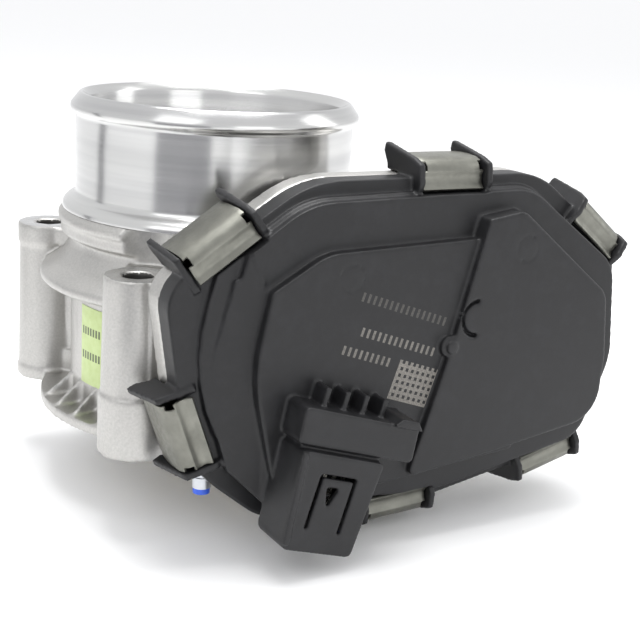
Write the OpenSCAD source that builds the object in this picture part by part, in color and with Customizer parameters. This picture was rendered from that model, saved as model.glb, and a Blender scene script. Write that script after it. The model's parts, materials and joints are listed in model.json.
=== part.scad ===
// Electronic throttle body: a butterfly plate in a round bore, turned by a small motor through
// a two-stage gear train under a clipped plastic cover.
// Origin: centre of the bore on the mounting face. +Z runs along the bore to the hose spigot,
// -Y to the gear cover, +X to the motor. Millimetres.

/* [Bore and hose spigot] */
// Radius of the air bore
bore_r = 32; // [30:0.5:33]
// Outer radius of the hose spigot
spigot_r = 35; // [34:0.5:36]
// Outer radius of the hose-retaining bead
bead_r = 36.4; // [36:0.1:38]
// Height of the spigot's lip above the mounting face
body_h = 79.5; // [76:0.5:90]
// Height of the step where the machined spigot starts
spigot_z = 51.4; // [50:0.2:53]

/* [Mounting flange] */
// Radius of the flange
flange_r = 43.75; // [42:0.25:45]
// Thickness of the flange plate
flange_t = 2.5; // [2:0.1:4]
// Distance between the bolt holes along X
bolt_dx = 66.4; // [66:0.1:68]
// Distance between the bolt holes along Y
bolt_dy = 63; // [62.5:0.1:64]
// Radius of a bolt hole
bolt_hole_r = 3.4; // [3.3:0.05:3.6]
// Height of the bolt bosses
boss_h = 42.5; // [41:0.5:44]
// Radius of a bolt boss at its top
boss_r = 7.8; // [7.6:0.1:8.2]

/* [Throttle] */
// Height of the shaft's axis above the mounting face
shaft_z = 25.5; // [24:0.5:26]
// Radius of the throttle shaft
shaft_r = 5; // [4.8:0.1:5]
// Thickness of the throttle plate
plate_t = 2; // [1.6:0.1:2.4]
// Gap between the plate's edge and the bore
plate_gap = 0.35; // [0.3:0.05:0.6]
// Angle of the plate at rest, away from closed (limp-home opening)
rest_angle = 7.5; // [5:0.5:9]

/* [Gear train] */
// Module of the sector gear and the small idler gear
m_out = 1; // [1:1:1]
// Module of the large idler gear and the motor pinion
m_in = 0.8; // [0.8:0.1:0.8]
// Teeth of the sector gear, counted all the way round
sector_teeth = 55; // [55:1:55]
// Teeth of the small idler gear
idler_small_teeth = 16; // [16:1:16]
// Teeth of the large idler gear
idler_large_teeth = 52; // [52:1:52]
// Teeth of the motor pinion
pinion_teeth = 12; // [12:1:12]
// Backlash of each gear pair
backlash = 0.3; // [0.2:0.05:0.4]

/* [Gear case and cover] */
// Y of the joint between the aluminium case and the plastic cover
joint_y = -50; // [-50.5:0.5:-50]
// Depth of the cover's rim
rim_d = 6; // [5.5:0.5:6.5]
// Wall thickness of the cover
cover_wall = 2; // [1.8:0.1:2.2]
// Length of a cover clip along the rim
clip_l = 17; // [15:0.5:18]

/* [Connector] */
// Turn of the connector in the cover's plane
plug_turn = 17; // [15:1:19]
// Pins in the connector
pin_count = 6; // [4:1:6]

/* [Hidden] */
$fn = 64;
eps = 0.01;

// Gear centres, as [X, Z]
shaft_c = [0, shaft_z];
motor_c = [60, shaft_z + 0.5];
span = norm(motor_c - shaft_c);
d_out = m_out * (sector_teeth + idler_small_teeth) / 2;
d_in = m_in * (idler_large_teeth + pinion_teeth) / 2;
along = (d_out * d_out - d_in * d_in + span * span) / (2 * span);
across = sqrt(d_out * d_out - along * along);
line_dir = (motor_c - shaft_c) / span;
idler_c = shaft_c + along * line_dir + across * [-line_dir[1], line_dir[0]];

// Outlines in the XZ plane: [x, z, corner radius]
rim_outline = [[-37, 45, 9.5], [-3, 67, 26], [61, 67.5, 22], [88, 47, 11], [91, 19.5, 19.5],
    [82.5, -5, 11], [35, -13.5, 42.5], [-11.5, -11.5, 14.5], [-30.5, 4, 26.5]];
crescent_outline = [[-25, 50.5, 3], [-5, 63.6, 20], [56.5, 65, 14], [85.4, 44.4, 10],
    [88.4, 19, 18], [80, -2.6, 9], [34, -10.8, 40], [-9.5, -8.3, 10], [-34, 19, 42.5]];
dome_outline = [[-19, 53.4, 3], [-5, 62.9, 20], [56, 64.3, 14], [84.7, 44, 10],
    [87.6, 19, 18], [79.4, -1.9, 9], [34, -10, 40], [-4, -7.2, 10], [-27.5, 22, 42.5]];
low_plateau = [[-14.9, 44.4, 1.5], [-1.5, 52.2, 14], [41, 53.6, 1], [60, 20, 1], [55, -1, 1],
    [10, -5, 3], [-12, -3, 6], [-18.6, 26, 40]];
high_plateau = [[40.5, 58.5, 0.8], [50.5, 60, 3.5], [79, 38, 6.5], [81, 21.5, 16],
    [80.5, 5, 9.5], [47.5, 0, 28.5], [22.5, -3, 1.5], [33, 30, 58]];

// Y of the cover's levels, and the case's walls
rim_y = joint_y - rim_d;
dome_y = -60.2;
crescent_y = -57.6;
low_y = -63;
high_y = -65;
case_flange_t = 5.5;
case_back_y = -38;
case_floor_y = -41;
case_inset = 3;

// Clips: [x, z] on the rim and the rim's direction there, in degrees
clips = [[-24.3, 53.3, 34], [33.9, 67.3, 0], [80.4, 52.4, -38],
    [71.6, -7.2, 194], [25.3, -12.9, 183], [-30.6, 12.4, 110]];
clip_t = 0.9;
clip_out = 4.2;
ear_t = 1.6;

// Motor
can_r = 17;
can_wall = 1.5;
can_end_y = 13;
barrel_wall = 3;
motor_shaft_r = 1.6;
rotor_r = 11.2;
motor_screw_r = 21.5;
motor_screw_turn = 60;

// Rounded outline: each corner [x, z, r] becomes an arc of arc_steps chords
arc_steps = 7;
function unit(v) = v / norm(v);
function flat(v) = [v[0], v[1]];
function corner_arc(a, p, b, r) = let (
        u = unit(flat(a) - flat(p)), w = unit(flat(b) - flat(p)),
        half = acos(u * w) / 2,
        c = flat(p) + unit(u + w) * r / sin(half),
        s = flat(p) + u * r / tan(half) - c, e = flat(p) + w * r / tan(half) - c,
        a0 = atan2(s[1], s[0]), d0 = atan2(e[1], e[0]) - a0,
        d = d0 > 180 ? d0 - 360 : d0 < -180 ? d0 + 360 : d0)
    [for (k = [0:arc_steps]) c + r * [cos(a0 + d * k / arc_steps), sin(a0 + d * k / arc_steps)]];
function rounded(pts) = let (n = len(pts))
    [for (i = [0:n - 1]) each corner_arc(pts[(i + n - 1) % n], pts[i], pts[(i + 1) % n], pts[i][2])];
// Clockwise outline moved inwards by t: every corner slides along its bisector, and its
// radius shrinks, or grows where the corner is a hollow one
function inset_corner(a, p, b, t) = let (
        u = unit(flat(a) - flat(p)), w = unit(flat(b) - flat(p)), half = acos(u * w) / 2,
        bulge = cross(u, w) > 0 ? 1 : -1,
        q = flat(p) + unit(u + w) * bulge * t / sin(half))
    [q[0], q[1], max(p[2] - bulge * t, 0.4)];
function inset(pts, t) = let (n = len(pts))
    [for (i = [0:n - 1]) inset_corner(pts[(i + n - 1) % n], pts[i], pts[(i + 1) % n], t)];

// Places an XZ drawing so that it fills y_front..y_back
module wall_y(y_front, y_back) {
    translate([0, y_back, 0]) rotate([90, 0, 0]) linear_extrude(y_back - y_front) children();
}
module slab(outline, y_front, y_back) wall_y(y_front, y_back) polygon(rounded(outline));
// Round rod along Y at c = [x, z]
module rod_y(c, r, y_front, y_back) {
    translate([c[0], y_back, c[1]]) rotate([90, 0, 0]) cylinder(r = r, h = y_back - y_front);
}
module ring_y(c, r_out, r_in, y_front, y_back) {
    difference() {
        rod_y(c, r_out, y_front, y_back);
        rod_y(c, r_in, y_front - 1, y_back + 1);
    }
}
// Tilts its children from closed to the plate's rest angle about the shaft
module at_rest_angle() translate([0, 0, shaft_z]) rotate([0, rest_angle, 0]) children();

// ---- housing ----

// Outside of the bore wall, from the mounting face up: [r, z]
wall_r = 36;
shelf_z = 32.3;
pedestal_r = 38.6;
body_profile = [[bore_r - 2, 0], [flange_r, 0], [flange_r, flange_t], [wall_r + 1.2, flange_t],
    [wall_r, flange_t + 1.2], [wall_r, shelf_z - 1], [flange_r - 1, shelf_z], [flange_r, shelf_z + 0.6],
    [flange_r, shelf_z + 2.4], [38.6, 38.2], [36.6, 41.5], [36.2, 44], [pedestal_r, 44.6],
    [pedestal_r, 47.6], [39.3, 48], [39.3, 49.8], [pedestal_r - 0.2, 50.2], [pedestal_r - 0.2, spigot_z],
    [37.6, spigot_z + 1.5], [36.3, spigot_z + 2.4], [spigot_r, spigot_z + 2.8], [spigot_r, body_h - 5.2],
    [bead_r - 0.4, body_h - 4.6], [bead_r, body_h - 3.9], [bead_r - 0.2, body_h - 3.3],
    [bore_r + 1.66, body_h], [bore_r - 2, body_h]];

boss_xy = [for (sx = [-1, 1], sy = [-1, 1]) [sx * bolt_dx / 2, sy * bolt_dy / 2]];
socket_clear_r = 10.7;
case_clear_r = 7;
bearing_r = 8;
tunnel_r = 10.5;
rib_turns = [171, 183, 195, 207];

collar_h = 5.2;
module boss(p) {
    translate([p[0], p[1], 0]) {
        cylinder(r1 = boss_r + 0.6, r2 = boss_r, h = boss_h);
        if (p[1] > 0) translate([0, 0, boss_h - collar_h]) cylinder(r = boss_r + 0.5, h = collar_h);
        cylinder(r = boss_r + 0.9, h = 3);
    }
}

// Web that ties a boss to the bore wall, with a wider deck level with the boss's top
web_w = 9;
deck_w = 14;
deck_t = 4;
deck_drop = 0.4;
boss_reach = norm(boss_xy[0]);
module boss_web(p) rotate([0, 0, atan2(p[1], p[0])]) {
    translate([bore_r + 2, -web_w / 2, 0]) cube([boss_reach - bore_r - 2, web_w, boss_h - 1]);
    translate([bore_r + 2, -deck_w / 2, boss_h - deck_drop - deck_t])
        cube([boss_reach - bore_r - 4, deck_w, deck_t]);
}

// Bore wall, cut back over each boss so that a socket fits over its bolt
module bore_wall() difference() {
    rotate_extrude($fn = 128) polygon(body_profile);
    for (p = boss_xy) translate([p[0], p[1], boss_h - 1])
        cylinder(r = socket_clear_r, h = spigot_z + 4 - boss_h);
}

// Thin sloping stiffener between the flange plate and the bore wall
module flange_rib(turn) {
    rotate([0, 0, turn]) translate([0, 0.6, 0]) rotate([90, 0, 0]) linear_extrude(1.2)
        polygon([[wall_r - 1, 0], [flange_r - 1, 0], [flange_r - 1, flange_t + 0.3],
            [wall_r + 0.8, 7.6], [wall_r - 1, 7.6]]);
    rotate([0, 0, turn]) translate([wall_r, 0, 0]) cylinder(r = 1.1, h = 8);
}

// Shallow case behind the cover: flange, wall and floor, joined to the bore by a neck
neck_x = [-33, 33];
module gear_case() {
    slab(rim_outline, joint_y, joint_y + case_flange_t);
    slab(inset(rim_outline, case_inset), joint_y + case_flange_t - eps, case_back_y);
    translate([neck_x[0], case_back_y - 2, 0]) cube([neck_x[1] - neck_x[0], 12, boss_h]);
    translate([-30, case_back_y - 2, boss_h - 1]) cube([36, 9, 9]);
}

module motor_barrel() {
    rod_y(motor_c, can_r + barrel_wall, joint_y + case_flange_t, can_end_y + 6);
    rod_y(motor_c, 9, 0, can_end_y + 8);
    for (s = [0, 180]) rod_y(motor_screw_c(s), 5, case_floor_y, case_back_y + 12);
    translate([bore_r + 3, -28, 12]) cube([12, 40, 28]);
}
function motor_screw_c(s) = motor_c
    + motor_screw_r * [cos(motor_screw_turn + s), sin(motor_screw_turn + s)];

module housing_solid() {
    bore_wall();
    for (p = boss_xy) boss(p);
    for (p = boss_xy) boss_web(p);
    for (a = rib_turns) flange_rib(a);
    for (a = rib_turns) flange_rib(a - 90 - 15);
    gear_case();
    motor_barrel();
    rod_y(shaft_c, tunnel_r, -46, -bore_r - 1);
    rod_y(shaft_c, tunnel_r + 1.5, bore_r + 1, 47);
    translate([-7, bore_r + 2, 0]) cube([14, 9, shaft_z]);
}

module housing_cuts() {
    // bore, with a lead-in chamfer at each end
    translate([0, 0, -1]) cylinder(r = bore_r, h = body_h + 2, $fn = 128);
    translate([0, 0, body_h - 1.66]) cylinder(r1 = bore_r, r2 = bore_r + 2.66, h = 2.66, $fn = 128);
    // bolt holes and their chamfers
    for (p = boss_xy) translate([p[0], p[1], -1]) {
        cylinder(r = bolt_hole_r, h = boss_h + 2);
        translate([0, 0, boss_h + 0.4]) cylinder(r1 = bolt_hole_r, r2 = bolt_hole_r + 0.8, h = 0.8);
        translate([0, 0, boss_h + 1]) cylinder(r = case_clear_r, h = 30);
    }
    // gear pocket, with the spring tunnel left standing
    difference() {
        slab(inset(rim_outline, case_inset + 3), joint_y - 1, case_floor_y);
        rod_y(shaft_c, tunnel_r, -46, case_floor_y + 1);
        rod_y(idler_c, 5, -45.6, case_floor_y + 1);
        stop_boss();
    }
    // shaft holes, bearing seats and end plug seat
    rod_y(shaft_c, shaft_r + 0.4, joint_y, 50);
    rod_y(shaft_c, bearing_r, joint_y, drive_seat_y);
    rod_y(shaft_c, bearing_r, end_seat_y, 50);
    rod_y(shaft_c, plug_r, plug_y, 50);
    rod_y(idler_c, idler_pin_r, joint_y, -39.5);
    // motor cavity and its screw holes
    rod_y(motor_c, can_r + 0.15, joint_y, can_end_y + 2);
    for (s = [0, 180]) rod_y(motor_screw_c(s), 2, joint_y, case_floor_y + 14);
    // stop screw and the gasket's groove
    stop_hole();
    gasket_ring(joint_y - 1, joint_y + gasket_t);
}

drive_seat_y = -35;
end_seat_y = 35;
plug_y = 45.2;
plug_r = 9;
idler_pin_r = 3;

module housing() color("lightgray") difference() {
    housing_solid();
    housing_cuts();
}

// Ring of the cover's gasket
gasket_t = 1.2;
module gasket_ring(y_front, y_back) difference() {
    slab(inset(rim_outline, 1.1), y_front, y_back);
    slab(inset(rim_outline, 2.5), y_front - 1, y_back + 1);
}
module cover_gasket() color("dimgray") gasket_ring(joint_y, joint_y + gasket_t);

// ---- stop screw ----
stop_x = -22.5;
stop_y = -46.5;
stop_r = 1.9;
stop_head_r = 2.2;
stop_head_z = -5.2;
stop_tip_z = 12.1;

module stop_boss() {
    translate([stop_x, stop_y, -8]) cylinder(r = 3.8, h = 16);
    translate([stop_x - 3.8, stop_y, -8]) cube([7.6, 8, 16]);
}
module stop_hole() {
    translate([stop_x, stop_y, -12]) cylinder(r = stop_r, h = 24);
    translate([stop_x, stop_y, -14]) cylinder(r = stop_head_r + 0.15, h = 14 + stop_head_z + 2.7);
}
module stop_screw() color("silver") difference() {
    union() {
        translate([stop_x, stop_y, stop_head_z]) cylinder(r = stop_r - running, h = stop_tip_z - stop_head_z);
        translate([stop_x, stop_y, stop_head_z]) cylinder(r = stop_head_r, h = 2.6);
    }
    translate([stop_x, stop_y, stop_head_z - 1]) cylinder(r = 1.3, h = 2.8, $fn = 6);
}
module stop_screw_paint() color("royalblue") translate([stop_x, stop_y, stop_head_z - 1.4]) {
    cylinder(r = 2, h = 1.4);
}

// ---- cover ----

// Drawing plane of the connector: u runs across it, v towards its mouth
plug_origin = [-9.8, 21.1];
module on_plug(y_front, y_back) {
    translate([plug_origin[0], y_back, plug_origin[1]]) rotate([90, 0, 0])
        rotate([0, 0, -plug_turn]) mirror([0, 1, 0]) linear_extrude(y_back - y_front) children();
}
header = [[0, 0, 1.2], [31.5, 0, 1.2], [32.6, 8.4, 1.2], [0.9, 8.4, 1.2]];
shroud = [[1.7, 9.4, 1], [24.4, 9.4, 1], [23.4, 32.4, 1.4], [4, 32.4, 2.4]];
shroud_front_y = -72.5;
socket_y = [-70.9, -62.2];
socket_v = 14;
fin_u = [5.6, 10.9, 16.2, 21.5];

module plug_solid() {
    on_plug(-71.5, rim_y) polygon(rounded(header));
    on_plug(-70.4, rim_y) polygon([[2.5, 8], [24, 8], [24, 10], [2.5, 10]]);
    on_plug(shroud_front_y, -60.8) polygon(rounded(shroud));
    on_plug(shroud_front_y - 0.8, -64) polygon([[1.7, 9.8], [3.3, 9.8], [5.6, 31], [4, 31]]);
    for (u = fin_u) on_plug(-68.4, -62) translate([u, -4.4]) square([1.4, 5]);
    on_plug(-73, -62) translate([23.2, -1.2]) polygon([[0, 1.5], [2.2, -0.6], [6.4, -0.6], [8.4, 1.5]]);
    on_plug(-66, rim_y) polygon([[6, 8], [22, 8], [21, 20], [7, 20]]);
}
module plug_cuts() {
    on_plug(socket_y[0], socket_y[1]) polygon(rounded([[5.4, socket_v, 1], [21.6, socket_v, 1],
        [21.2, 40, 1], [6, 40, 1]]));
    // latch slots and the window in the latch
    for (u = [8.6, 17.7]) on_plug(-80, socket_y[0] + 0.2) translate([u, 14]) square([0.8, 13.4]);
    on_plug(-80, socket_y[0] + 0.2) translate([8.6, 14]) square([9.9, 0.8]);
    on_plug(-80, socket_y[0] + 0.2) polygon([[11.1, 16.8], [14.6, 16.8], [12.7, 22]]);
}

// Socket inside the cover for the end of the idler's pin
pin_socket_r = 5;
pin_socket_y = -59.1;
idler_pin_y = -59.8;
module cover_outer() {
    slab(rim_outline, rim_y, joint_y);
    slab(dome_outline, dome_y, joint_y);
    slab(crescent_outline, crescent_y, rim_y + 1);
    slab(low_plateau, low_y, rim_y);
    slab(high_plateau, high_y, rim_y);
}
module cover_inner() {
    slab(inset(rim_outline, cover_wall + 1.2), rim_y + cover_wall, joint_y + 1);
    slab(inset(dome_outline, cover_wall), dome_y + cover_wall, joint_y + 1);
    slab(inset(low_plateau, cover_wall), low_y + cover_wall, rim_y);
    slab(inset(high_plateau, cover_wall), high_y + cover_wall, rim_y);
}

// Places its children at a clip: X along the rim, Y outwards from the rim, Z towards the cover's front
module at_clip(c) {
    translate([c[0], 0, c[1]]) rotate([0, -c[2], 0]) rotate([90, 0, 0]) children();
}
ear_outline = [[-4.5, 44.6], [1.5, 44.6], [4.4, 42.8], [6.6, 43.4], [5.6, 49], [4.4, 55.5],
    [3.2, 58.6], [-1, 59.2], [-4.5, 57.8]];
module clip_ears(c) at_clip(c) for (s = [-1, 1]) {
    translate([s * (clip_l + ear_t + 0.6) / 2 - ear_t / 2, 0, 0]) rotate([90, 0, 90])
        linear_extrude(ear_t) polygon(ear_outline);
}
module clip_seat(c) at_clip(c) translate([-(clip_l + 0.6) / 2, -3.6, 0.05 - rim_y])
    cube([clip_l + 0.6, 12, 16]);

module gear_cover() color([0.22, 0.22, 0.23]) {
    difference() {
        union() {
            difference() {
                cover_outer();
                for (c = clips) clip_seat(c);
            }
            plug_solid();
            difference() {
                for (c = clips) clip_ears(c);
                slab(inset(rim_outline, -0.3), joint_y, joint_y + case_flange_t + 0.2);
            }
        }
        difference() {
            cover_inner();
            rod_y(idler_c, pin_socket_r, low_y, pin_socket_y);
        }
        rod_y(idler_c, idler_pin_r + 0.05, idler_pin_y - 0.4, joint_y);
        plug_cuts();
    }
}

// ---- clips ----
clip_back = 44.4;
clip_hook = 1.5;
clip_front = 56.1;
clip_profile = [[-clip_hook, clip_back - clip_t], [clip_out - 0.8, clip_back - clip_t],
    [clip_out, clip_back], [clip_out + 0.4, 50.5], [clip_out, clip_front],
    [clip_out - 0.8, clip_front + clip_t], [-1.6, clip_front + clip_t], [-2.8, clip_front + 2],
    [-3.3, clip_front + 1.4], [-2.2, clip_front], [clip_out - 1.3, clip_front],
    [clip_out - clip_t, clip_front - 0.5], [clip_out + 0.4 - clip_t, 50.5],
    [clip_out - clip_t, clip_back + 0.5], [clip_out - 1.3, clip_back], [-clip_hook, clip_back]];
module cover_clips() color([0.5, 0.5, 0.46]) for (c = clips) at_clip(c) {
    translate([-clip_l / 2, 0, 0]) rotate([90, 0, 90]) linear_extrude(clip_l) polygon(clip_profile);
}

// ---- label ----
label_turn = [184, 213.5];
label_z = [8.4, 28.4];
module bore_label() color([0.84, 0.94, 0.62]) rotate([0, 0, label_turn[0]])
    translate([0, 0, label_z[0]]) rotate_extrude(angle = label_turn[1] - label_turn[0], $fn = 128)
        translate([wall_r + 0.01, 0]) square([0.15, label_z[1] - label_z[0]]);

// ---- throttle shaft and plate ----
shaft_front_y = -55.4;
shaft_end_y = 44.9;
plate_r = bore_r - plate_gap;
screw_y = [-13, 13];

module throttle_shaft() color("gray") difference() {
    rod_y(shaft_c, shaft_r, shaft_front_y, shaft_end_y);
    at_rest_angle() translate([-10, -bore_r + 0.15, -plate_t / 2]) cube([20, 2 * bore_r - 0.3, plate_t]);
    at_rest_angle() for (y = screw_y) translate([0, y, 0]) {
        translate([0, 0, -8]) cylinder(r = 1.9, h = 16);
        translate([0, 0, 3.2]) cylinder(r = 3.3, h = 5);
    }
    ring_y(shaft_c, 8, shaft_r - 0.8, 43.4, 44.4);
}
module throttle_plate() color("goldenrod") at_rest_angle() difference() {
    translate([0, 0, -plate_t / 2]) cylinder(r = plate_r, h = plate_t, $fn = 128);
    for (y = screw_y) translate([0, y, -2]) cylinder(r = 1.9, h = 4);
}
module plate_screws() color("silver") at_rest_angle() for (y = screw_y) translate([0, y, 0]) difference() {
    union() {
        translate([0, 0, -5]) cylinder(r = 1.9 - running, h = 9);
        translate([0, 0, 3.2]) cylinder(r = 3.2, h = 2);
    }
    translate([0, 0, 4]) cylinder(r = 1.5, h = 2, $fn = 6);
}

running = 0.03;
module drive_bearing() color("silver") ring_y(shaft_c, bearing_r, shaft_r + running, -45.6, -38.2);
module end_bearing() color("silver") ring_y(shaft_c, bearing_r, shaft_r + running, end_seat_y, 43);
module shaft_seal() color([0.15, 0.15, 0.15]) {
    ring_y(shaft_c, bearing_r, shaft_r + 1.4, -38.1, drive_seat_y);
    ring_y(shaft_c, shaft_r + 1.6, shaft_r + 0.06, -36.9, -36.2);
}
module end_plug() color("silver") difference() {
    rod_y(shaft_c, plug_r, plug_y, 46.8);
    rod_y(shaft_c, plug_r - 1.2, 45.9, 48);
}
module retaining_ring() color("dimgray") difference() {
    ring_y(shaft_c, 6.8, shaft_r - 0.8, 43.4, 44.4);
    translate([-1.5, 40, shaft_z]) cube([3, 8, 10]);
}

// ---- return spring ----
bush_r = 11.8;
module spring_bush() color("ivory") difference() {
    union() {
        rod_y(shaft_c, bush_r, -46, case_floor_y);
        rod_y(shaft_c, 15, -41.6, case_floor_y);
    }
    rod_y(shaft_c, tunnel_r + running, -47, -40);
}
spring_r = 13.4;
wire_r = 0.55;
spring_turns = 3;
spring_steps = 24;
spring_y0 = -42.3;
spring_pitch = 1.25;
wire_sides = 8;
spring_path = [for (i = [0:spring_turns * spring_steps]) let (a = 360 * i / spring_steps + 225)
    [spring_r * cos(a), spring_y0 - spring_pitch * i / spring_steps, shaft_z + spring_r * sin(a)]];
spring_n = len(spring_path);
function side_dir(i) = unit([spring_path[i][0], 0, spring_path[i][2] - shaft_z]);
module return_spring() color("darkgray") polyhedron(
    points = [for (i = [0:spring_n - 1], k = [0:wire_sides - 1]) spring_path[i]
        + wire_r * (cos(360 * k / wire_sides) * side_dir(i) + sin(360 * k / wire_sides) * [0, 1, 0])],
    faces = concat([[for (k = [0:wire_sides - 1]) k]],
        [for (i = [0:spring_n - 2], k = [0:wire_sides - 1]) [i * wire_sides + k,
            (i + 1) * wire_sides + k, (i + 1) * wire_sides + (k + 1) % wire_sides,
            i * wire_sides + (k + 1) % wire_sides]],
        [[for (k = [wire_sides - 1:-1:0]) (spring_n - 1) * wire_sides + k]]));

// ---- gears ----
pressure_angle = 20;
function involute(a) = tan(a) * 180 / PI - a;
// Half of a tooth's angle at radius r
function tooth_half(r, m, n) = let (rp = m * n / 2, rb = rp * cos(pressure_angle))
    90 / n - backlash / (4 * rp) * 180 / PI + involute(pressure_angle) - involute(acos(min(1, rb / r)));
function flank_radii(m, n) = let (rp = m * n / 2)
    [rp - 1.25 * m, rp - 0.8 * m, rp - 0.35 * m, rp, rp + 0.45 * m, rp + 0.9 * m];
function tooth(m, n, turn) = let (rr = flank_radii(m, n), last = len(rr) - 1) concat(
    [for (i = [0:last]) let (a = turn - tooth_half(rr[i], m, n)) rr[i] * [cos(a), sin(a)]],
    [for (i = [last:-1:0]) let (a = turn + tooth_half(rr[i], m, n)) rr[i] * [cos(a), sin(a)]]);
function gear_points(m, n, turn, first, last) =
    [for (i = [first:last]) each tooth(m, n, turn + 360 * i / n)];
module gear_y(c, points, y_front, y_back)
    wall_y(y_front, y_back) translate(c) polygon(points);

// Directions of the lines of centres, and the phase that puts the gears in mesh at rest
out_turn = atan2(idler_c[1] - shaft_c[1], idler_c[0] - shaft_c[0]);
in_turn = atan2(motor_c[1] - idler_c[1], motor_c[0] - idler_c[0]);
sector_first = -3;
sector_last = 16;
sector_y = [-53, -47];
idler_y = [-57.6, -53.7];
gear_hub_y = -55.8;
arm_turn = 195.5;
arm_r = 26.3;

module sector_gear() color("ivory") difference() {
    union() {
        gear_y(shaft_c, concat(gear_points(m_out, sector_teeth, out_turn, sector_first, sector_last),
            [[0, 0]]), sector_y[0], sector_y[1]);
        rod_y(shaft_c, 12, gear_hub_y, -46.4);
        stop_arm();
    }
    rod_y(shaft_c, insert_r, -60, -40);
    for (a = [20, 50, 80]) translate([0, -50.8, shaft_z]) rotate([0, -out_turn - a, 0])
        translate([18, 0, 0]) rotate([90, 0, 0]) cylinder(r = 4, h = 6);
}
module stop_arm() wall_y(sector_y[0] + 1.5, sector_y[1]) translate(shaft_c) rotate(arm_turn)
    polygon([[0, -5], [arm_r, -3], [arm_r, 3], [0, 6]]);
insert_r = 8;
module gear_insert() color("silver") ring_y(shaft_c, insert_r, shaft_r + running, shaft_front_y + 0.2,
    -46.4);
module sensor_target() color("orange") difference() {
    rod_y(shaft_c, 11.2, gear_hub_y - 0.6, gear_hub_y);
    for (a = [0:120:240]) translate([0, gear_hub_y - 1, shaft_z]) rotate([0, a + 30, 0])
        translate([9, 0, 0]) rotate([-90, 0, 0]) cylinder(r = 3, h = 2);
}

module idler_pin() color("silver") rod_y(idler_c, idler_pin_r, idler_pin_y, -39.6);
module idler_gear() color("ivory") difference() {
    union() {
        gear_y(idler_c, gear_points(m_out, idler_small_teeth,
            out_turn + 180 + 180 / idler_small_teeth, 0, idler_small_teeth - 1), idler_y[0] + 1, -46.4);
        gear_y(idler_c, gear_points(m_in, idler_large_teeth, in_turn, 0, idler_large_teeth - 1),
            idler_y[0], idler_y[1]);
        rod_y(idler_c, 6.2, -58.6, -46.2);
    }
    rod_y(idler_c, idler_pin_r + running, -62, -40);
    for (a = [0:60:300]) translate([idler_c[0], idler_y[0] - 1, idler_c[1]]) rotate([0, a, 0])
        translate([14, 0, 0]) rotate([-90, 0, 0]) cylinder(r = 3.2, h = 8);
}
module motor_pinion() color("goldenrod") difference() {
    gear_y(motor_c, gear_points(m_in, pinion_teeth, in_turn + 180 + 180 / pinion_teeth, 0,
        pinion_teeth - 1), -58, -53.2);
    rod_y(motor_c, motor_shaft_r, -60, -50);
}

// ---- motor ----
cap_y = [-43.2, -37];
bushing_r = 4;
module motor_can() color("silver") difference() {
    union() {
        rod_y(motor_c, can_r, case_floor_y - 0.6, can_end_y);
        rod_y(motor_c, 6, can_end_y - 1, can_end_y + 1.8);
        wall_y(case_floor_y - 1.6, case_floor_y) difference() {
            polygon(rounded(can_flange()));
            translate(motor_c) circle(r = can_r - can_wall);
        }
    }
    rod_y(motor_c, can_r - can_wall, case_floor_y - 4, can_end_y - can_wall);
    rod_y(motor_c, bushing_r, 0, can_end_y + 0.6);
    for (s = [0, 180]) rod_y(motor_screw_c(s), 2.2, -50, -30);
}
// Flange of the can: a lozenge over its two screws
function can_flange() = [for (k = [[-25.5, -3], [0, -19.5], [25.5, -3], [25.5, 3], [0, 19.5], [-25.5, 3]])
    let (c = cos(motor_screw_turn), s = sin(motor_screw_turn))
    [motor_c[0] + k[0] * c - k[1] * s, motor_c[1] + k[0] * s + k[1] * c, 2.4]];
module motor_magnets() color([0.25, 0.25, 0.27]) difference() {
    ring_y(motor_c, can_r - can_wall - running, rotor_r + 0.6, -30, 6);
    translate([motor_c[0] - 20, -32, motor_c[1] - 3]) cube([40, 40, 6]);
}
module rotor_core() color("gray") difference() {
    rod_y(motor_c, rotor_r, -26, 2);
    rod_y(motor_c, motor_shaft_r, -30, 5);
    for (a = [0:36:324]) translate([motor_c[0], -27, motor_c[1]]) rotate([0, a, 0]) {
        translate([rotor_r - 2.5, 0, -0.6]) cube([4, 30, 1.2]);
        translate([rotor_r - 3.6, 0, 0]) rotate([-90, 0, 0]) cylinder(r = 1.8, h = 30);
    }
}
module rotor_windings() color([0.72, 0.4, 0.2]) {
    ring_y(motor_c, rotor_r - 1.4, 3.2, -30, -26);
    ring_y(motor_c, rotor_r - 1.4, 3.2, 2, 6);
    for (a = [0:36:324]) translate([motor_c[0], -26.1, motor_c[1]]) rotate([0, a, 0])
        translate([rotor_r - 3.6, 0, 0]) rotate([-90, 0, 0]) cylinder(r = 1.6, h = 28.2);
}
module commutator() color([0.72, 0.4, 0.2]) difference() {
    ring_y(motor_c, 3.6, motor_shaft_r, -36.4, -30.4);
    for (a = [0:36:324]) translate([motor_c[0], -37, motor_c[1]]) rotate([0, a, 0])
        translate([3.1, 0, -0.2]) cube([2, 5, 0.4]);
}
module motor_shaft() color("silver") rod_y(motor_c, motor_shaft_r, -58.4, can_end_y + 0.2);
module motor_bushings() color("goldenrod") {
    ring_y(motor_c, bushing_r - running, motor_shaft_r + running, -42.8, -38);
    ring_y(motor_c, bushing_r - running, motor_shaft_r + running, 7.6, can_end_y);
}
module motor_end_cap() color([0.2, 0.2, 0.2]) difference() {
    union() {
        rod_y(motor_c, can_r - can_wall - 2 * running, cap_y[1] - 3.4, cap_y[1]);
        rod_y(motor_c, 6.5, cap_y[0], cap_y[1]);
    }
    rod_y(motor_c, bushing_r, cap_y[0] + 0.4, -38);
    rod_y(motor_c, motor_shaft_r + 0.4, -45, -30);
    for (p = terminal_c) wall_y(-45, -30) translate(p) square([terminal_w, terminal_t], center = true);
}
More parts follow.
